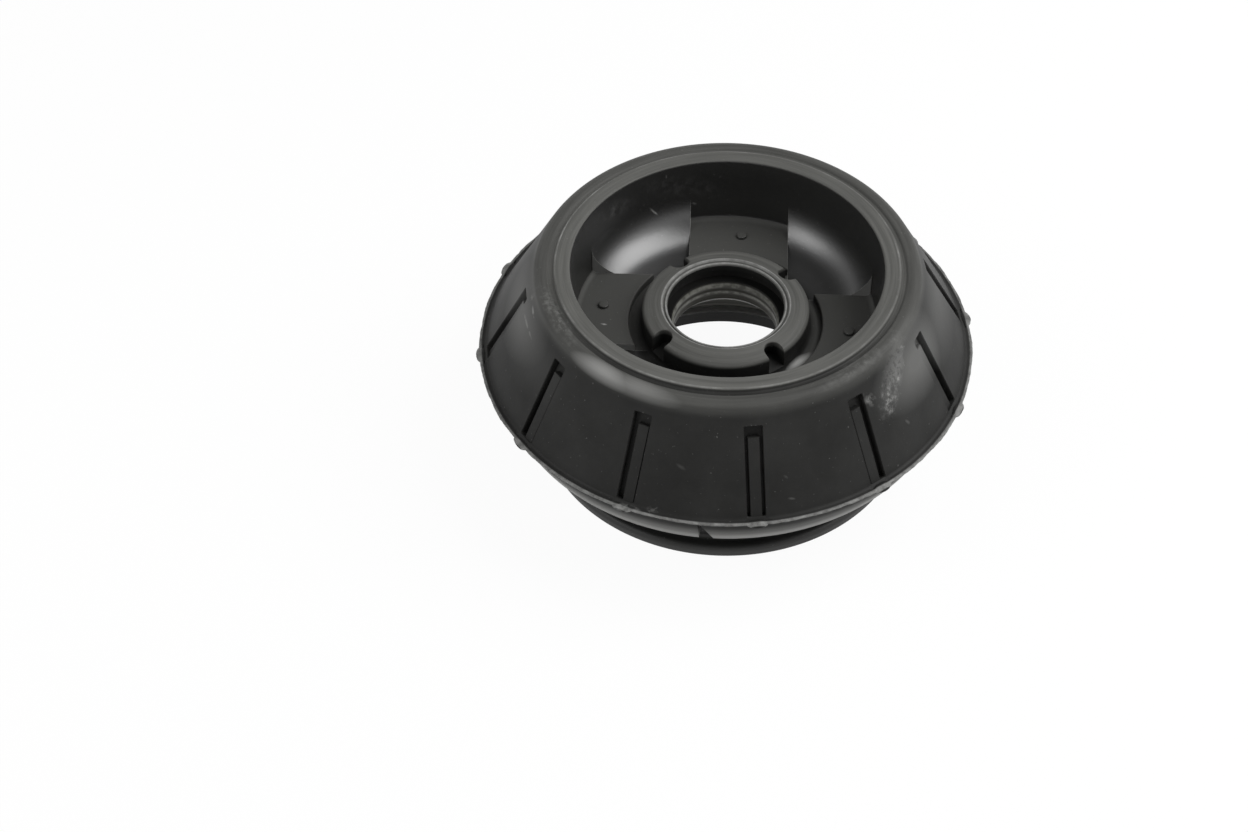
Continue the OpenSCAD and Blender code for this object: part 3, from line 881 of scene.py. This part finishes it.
    # Marks broken up by the flecks, then painted highlights and sheen, and specks
    ragged = node(tree, "ShaderNodeMapRange", {"Value": flecks, 1: 0.3, 2: 0.5}).outputs[0]
    scratched = together(tree, [smudges(tree, coords, SCRATCHES), ragged], "MULTIPLY")
    broken = node(tree, "ShaderNodeMapRange", {"Value": flecks, 1: 0.45, 2: 0.68}).outputs[0]
    scuffed = together(tree, [smudges(tree, coords, SCUFFS), broken], "MULTIPLY")
    sheen_and_highlights = smudges(tree, coords, SHEEN_AND_HIGHLIGHTS)
    specks = node(tree, "ShaderNodeMapRange", {
        "Value": grain, 1: 0.69, 2: 0.76, 4: 0.16}).outputs[0]
    marks = [scratched, scuffed, sheen_and_highlights, specks, lip, hem_dust_and_highlight, band_edge_highlight, throat, mouth, flank]
    chalk_and_highlights = together(tree, marks, "MAXIMUM")

    skin = node(tree, "ShaderNodeMix", {
        0: greyed, 6: tones.rubber, 7: tones.bloom}, data_type="RGBA").outputs[2]
    layers = ((bowl, tones.gloss), (pad, tones.pad), (dust_and_shade, tones.dust), (chalk_and_highlights, tones.chalk))
    for share, tone in layers:
        skin = node(tree, "ShaderNodeMix", {
            0: share, 6: skin, 7: tone}, data_type="RGBA").outputs[2]

    # The bowl shines, and the sides shine less under the lip and hardly at all below
    shiny = node(tree, "ShaderNodeMath", {0: bowl, 1: pad}, operation="SUBTRACT", use_clamp=True)
    shiny = shiny.outputs[0]
    rough = node(tree, "ShaderNodeMapRange", {"Value": shiny, 3: 0.52, 4: 0.36}).outputs[0]
    outside = node(tree, "ShaderNodeMapRange", {
        "Value": radius, 1: s.neck_r - 4 * MM, 2: s.neck_r - 2 * MM}).outputs[0]
    upper = node(tree, "ShaderNodeMapRange", {"Value": height, 1: 30 * MM, 2: 32 * MM}).outputs[0]
    open_side = together(tree, [outside, upper], "MAXIMUM")
    low_down = node(tree, "ShaderNodeMapRange", {
        "Value": height, 1: 13 * MM, 2: 11 * MM, 3: 0.12, 4: 0.3}).outputs[0]
    above = node(tree, "ShaderNodeMix", {0: open_side, 2: 0.02, 3: low_down}).outputs[0]
    tucked = between(tree, height, off(s.lip_z, -9, -4, -0.7, -0.5))
    tucked = together(tree, [wide, tucked], "MULTIPLY")
    open_air = node(tree, "ShaderNodeMix", {0: tucked, 2: above, 3: 0.015}).outputs[0]
    mirror = node(tree, "ShaderNodeMix", {0: shiny, 2: open_air, 3: 1}).outputs[0]

    fine = node(tree, "ShaderNodeBump", {
        "Height": grain, "Strength": 0.5, "Distance": 0.04 * MM}).outputs[0]
    lined = together(tree, [rings, dust_and_shade], "MULTIPLY")
    lined = node(tree, "ShaderNodeBump", {
        "Height": lined, "Strength": 0.5, "Distance": 0.3 * MM, "Normal": fine}).outputs[0]
    shader = node(tree, "ShaderNodeBsdfPrincipled", {
        "Base Color": skin,
        "Roughness": rough,
        "IOR": 1.6,
        "Specular IOR Level": mirror,
        "Normal": lined,
    })
    node(tree, "ShaderNodeOutputMaterial", {"Surface": shader.outputs[0]})
    return made


def phosphated_steel(tones):
    """Pressed steel, phosphated for bonding: dull olive grey, painted paler on the edges of its bore,
    partly as wear and partly as painted highlight.
    """
    made, tree = blank("phosphated_pressed_steel")
    coords = node(tree, "ShaderNodeTexCoord").outputs["Object"]
    height = node(tree, "ShaderNodeSeparateXYZ", {0: coords}).outputs["Z"]
    edges = [between(tree, height, off(0, *ends)) for ends in BORE_WEAR_AND_HIGHLIGHT]
    grain = node(tree, "ShaderNodeTexNoise", {
        "Vector": coords, "Scale": 1 / PHOSPHATE_W, "Detail": 5}).outputs["Fac"]
    patchy = node(tree, "ShaderNodeMapRange", {
        "Value": grain, 1: 0.35, 2: 0.6, 3: 0.35}).outputs[0]
    worn = together(tree, [together(tree, edges, "MAXIMUM"), patchy], "MULTIPLY")
    top = node(tree, "ShaderNodeMapRange", {
        "Value": height, 1: STEEL_TOP[0], 2: STEEL_TOP[1]}).outputs[0]
    skin = node(tree, "ShaderNodeMix", {
        0: worn, 6: tones.steel, 7: tones.worn}, data_type="RGBA").outputs[2]
    skin = node(tree, "ShaderNodeMix", {
        0: top, 6: skin, 7: tones.gloss}, data_type="RGBA").outputs[2]
    ridges = node(tree, "ShaderNodeTexNoise", {
        "W": height, "Scale": 1 / TOOL_LINE_W, "Detail": 3}, noise_dimensions="1D").outputs["Fac"]
    lined = node(tree, "ShaderNodeBump", {
        "Height": ridges, "Strength": 0.8, "Distance": 0.4 * MM}).outputs[0]
    shader = node(tree, "ShaderNodeBsdfPrincipled", {
        "Base Color": skin,
        "Roughness": 0.5,
        "Metallic": 0.25,
        "Specular IOR Level": 0.3,
        "Normal": lined,
    })
    node(tree, "ShaderNodeOutputMaterial", {"Surface": shader.outputs[0]})
    return made


def seen_directly(tree):
    """One where a ray comes from the camera, a mirror or glass, and nought elsewhere."""
    path = node(tree, "ShaderNodeLightPath").outputs
    rays = [path["Is Camera Ray"], path["Is Glossy Ray"], path["Is Transmission Ray"]]
    return together(tree, rays, "MAXIMUM")


def pale_floor(tones):
    """Plain painted floor that shows white and keeps a trace of the mount's shadow."""
    made, tree = blank("pale_floor")
    share = node(tree, "ShaderNodeMapRange", {"Value": seen_directly(tree), 4: 0.95})
    plain = node(tree, "ShaderNodeBsdfDiffuse", {"Color": tones.floor})
    glow = node(tree, "ShaderNodeEmission", {"Color": (1, 1, 1, 1), "Strength": 1})
    mixed = node(tree, "ShaderNodeMixShader", {
        0: share.outputs[0], 1: plain.outputs[0], 2: glow.outputs[0]})
    node(tree, "ShaderNodeOutputMaterial", {"Surface": mixed.outputs[0]})
    return made


FLOOR_SIZE = 6
# Lamps as name, direction from the mount, width and height in metres, and power in watts
LAMPS = (
    ("left_softbox", (-0.67, -0.33, 0.66), (0.37, 0.37), 1.6),
    ("right_softbox", (0.62, 0.04, 0.785), (0.5, 0.62), 5.3),
)
LAMP_DISTANCE = 0.75
# Each lamp's width lies square to this direction
LAMP_UPRIGHT = Vector((0.76, -0.88, -0.57))
# Camera fitted to the photograph: its focal length in pixels, its place round the lip and its aim
PHOTO_WIDTH_PX = 1248
FOCAL_PX = 2016.2
SENSOR_WIDTH = 36
LIP_CENTRE = Vector((0, 0, 29.6 * MM))
CAMERA_DISTANCE = 511.11 * MM
CAMERA_ELEVATION = math.radians(45.017)
CAMERA_ROLL = math.radians(1.733)
CAMERA_ASIDE = math.radians(2.8624)
CAMERA_DOWN = math.radians(-2.2683)


class MOUNT_OT_stage(bpy.types.Operator):
    """Set the pale floor, the soft light and the camera at the photograph's angle"""

    bl_idname = "mount.stage"
    bl_label = "Stage"

    def execute(self, context):
        scene = context.scene
        scene.view_settings.view_transform = "Standard"
        bpy.ops.object.select_all(action="DESELECT")
        bpy.ops.mesh.primitive_plane_add(size=FLOOR_SIZE)
        floor = context.object
        floor.name = "floor"
        floor.data.materials.append(pale_floor(scene.mount_colours))
        self.backdrop(scene)
        for lamp in LAMPS:
            self.softbox(*lamp)
        self.camera(scene)
        return {"FINISHED"}

    def backdrop(self, scene):
        """A backdrop that is white all round under a dim ceiling."""
        scene.world = bpy.data.worlds.new("studio")
        scene.world.use_nodes = True
        tree = scene.world.node_tree
        tree.nodes.clear()
        ray = node(tree, "ShaderNodeTexCoord").outputs["Generated"]
        up = node(tree, "ShaderNodeSeparateXYZ", {0: ray}).outputs["Z"]
        seen = node(tree, "ShaderNodeMapRange", {
            "Value": up, 1: 0.65, 2: 0.4, 3: 0.12, 4: 1}).outputs[0]
        strength = node(tree, "ShaderNodeMix", {0: seen_directly(tree), 2: 0.3, 3: seen})
        back = node(tree, "ShaderNodeBackground", {
            "Color": (1, 1, 1, 1), "Strength": strength.outputs[0]})
        node(tree, "ShaderNodeOutputWorld", {"Surface": back.outputs[0]})

    def softbox(self, name, direction, size, energy):
        """A soft lamp that faces the mount."""
        towards = Vector(direction).normalized()
        across = LAMP_UPRIGHT.cross(towards).normalized()
        axes = Matrix((across, towards.cross(across), towards)).transposed()
        bpy.ops.object.light_add(type="AREA")
        lamp = bpy.context.object
        lamp.name = name
        lamp.matrix_world = Matrix.Translation(towards * LAMP_DISTANCE) @ axes.to_4x4()
        lamp.data.shape = "RECTANGLE"
        lamp.data.size, lamp.data.size_y = size
        lamp.data.energy = energy

    def camera(self, scene):
        """The camera, at the photograph's angle and distance."""
        bpy.ops.object.camera_add()
        camera = bpy.context.object
        camera.data.sensor_width = SENSOR_WIDTH
        camera.data.lens = FOCAL_PX * SENSOR_WIDTH / PHOTO_WIDTH_PX
        away = Vector((0, -math.cos(CAMERA_ELEVATION), math.sin(CAMERA_ELEVATION)))
        stand = Matrix.Translation(LIP_CENTRE + away * CAMERA_DISTANCE)
        tilt = math.pi / 2 - CAMERA_ELEVATION
        turn = Matrix.Rotation(tilt, 4, "X") @ Matrix.Rotation(CAMERA_ROLL, 4, "Z")
        aim = Matrix.Rotation(CAMERA_DOWN, 4, "X") @ Matrix.Rotation(CAMERA_ASIDE, 4, "Y")
        camera.matrix_world = stand @ turn @ aim
        scene.camera = camera


class MOUNT_PT_panel(bpy.types.Panel):
    """Lists the mount's steps, sizes and colours"""

    bl_idname = "MOUNT_PT_panel"
    bl_label = "Strut Mount"
    bl_space_type = "VIEW_3D"
    bl_region_type = "UI"
    bl_category = "Strut Mount"

    def draw(self, context):
        for step in STEPS:
            self.layout.operator(step.bl_idname)
        for group in (context.scene.mount_sizes, context.scene.mount_colours):
            column = self.layout.column()
            for name in group.__annotations__:
                column.prop(group, name)


STEPS = (MOUNT_OT_stage, MOUNT_OT_rubber, MOUNT_OT_flash, MOUNT_OT_steel)
CLASSES = (MountSizes, MountColours, *STEPS, MOUNT_PT_panel)


def register():
    for cls in CLASSES:
        bpy.utils.register_class(cls)
    bpy.types.Scene.mount_sizes = PointerProperty(type=MountSizes)
    bpy.types.Scene.mount_colours = PointerProperty(type=MountColours)


def unregister():
    del bpy.types.Scene.mount_colours
    del bpy.types.Scene.mount_sizes
    for cls in reversed(CLASSES):
        bpy.utils.unregister_class(cls)


def main():
    """Runs every step in order."""
    register()
    bpy.ops.mount.stage()
    bpy.ops.mount.rubber()
    bpy.ops.mount.flash()
    bpy.ops.mount.steel()


if __name__ == "__main__":
    main()
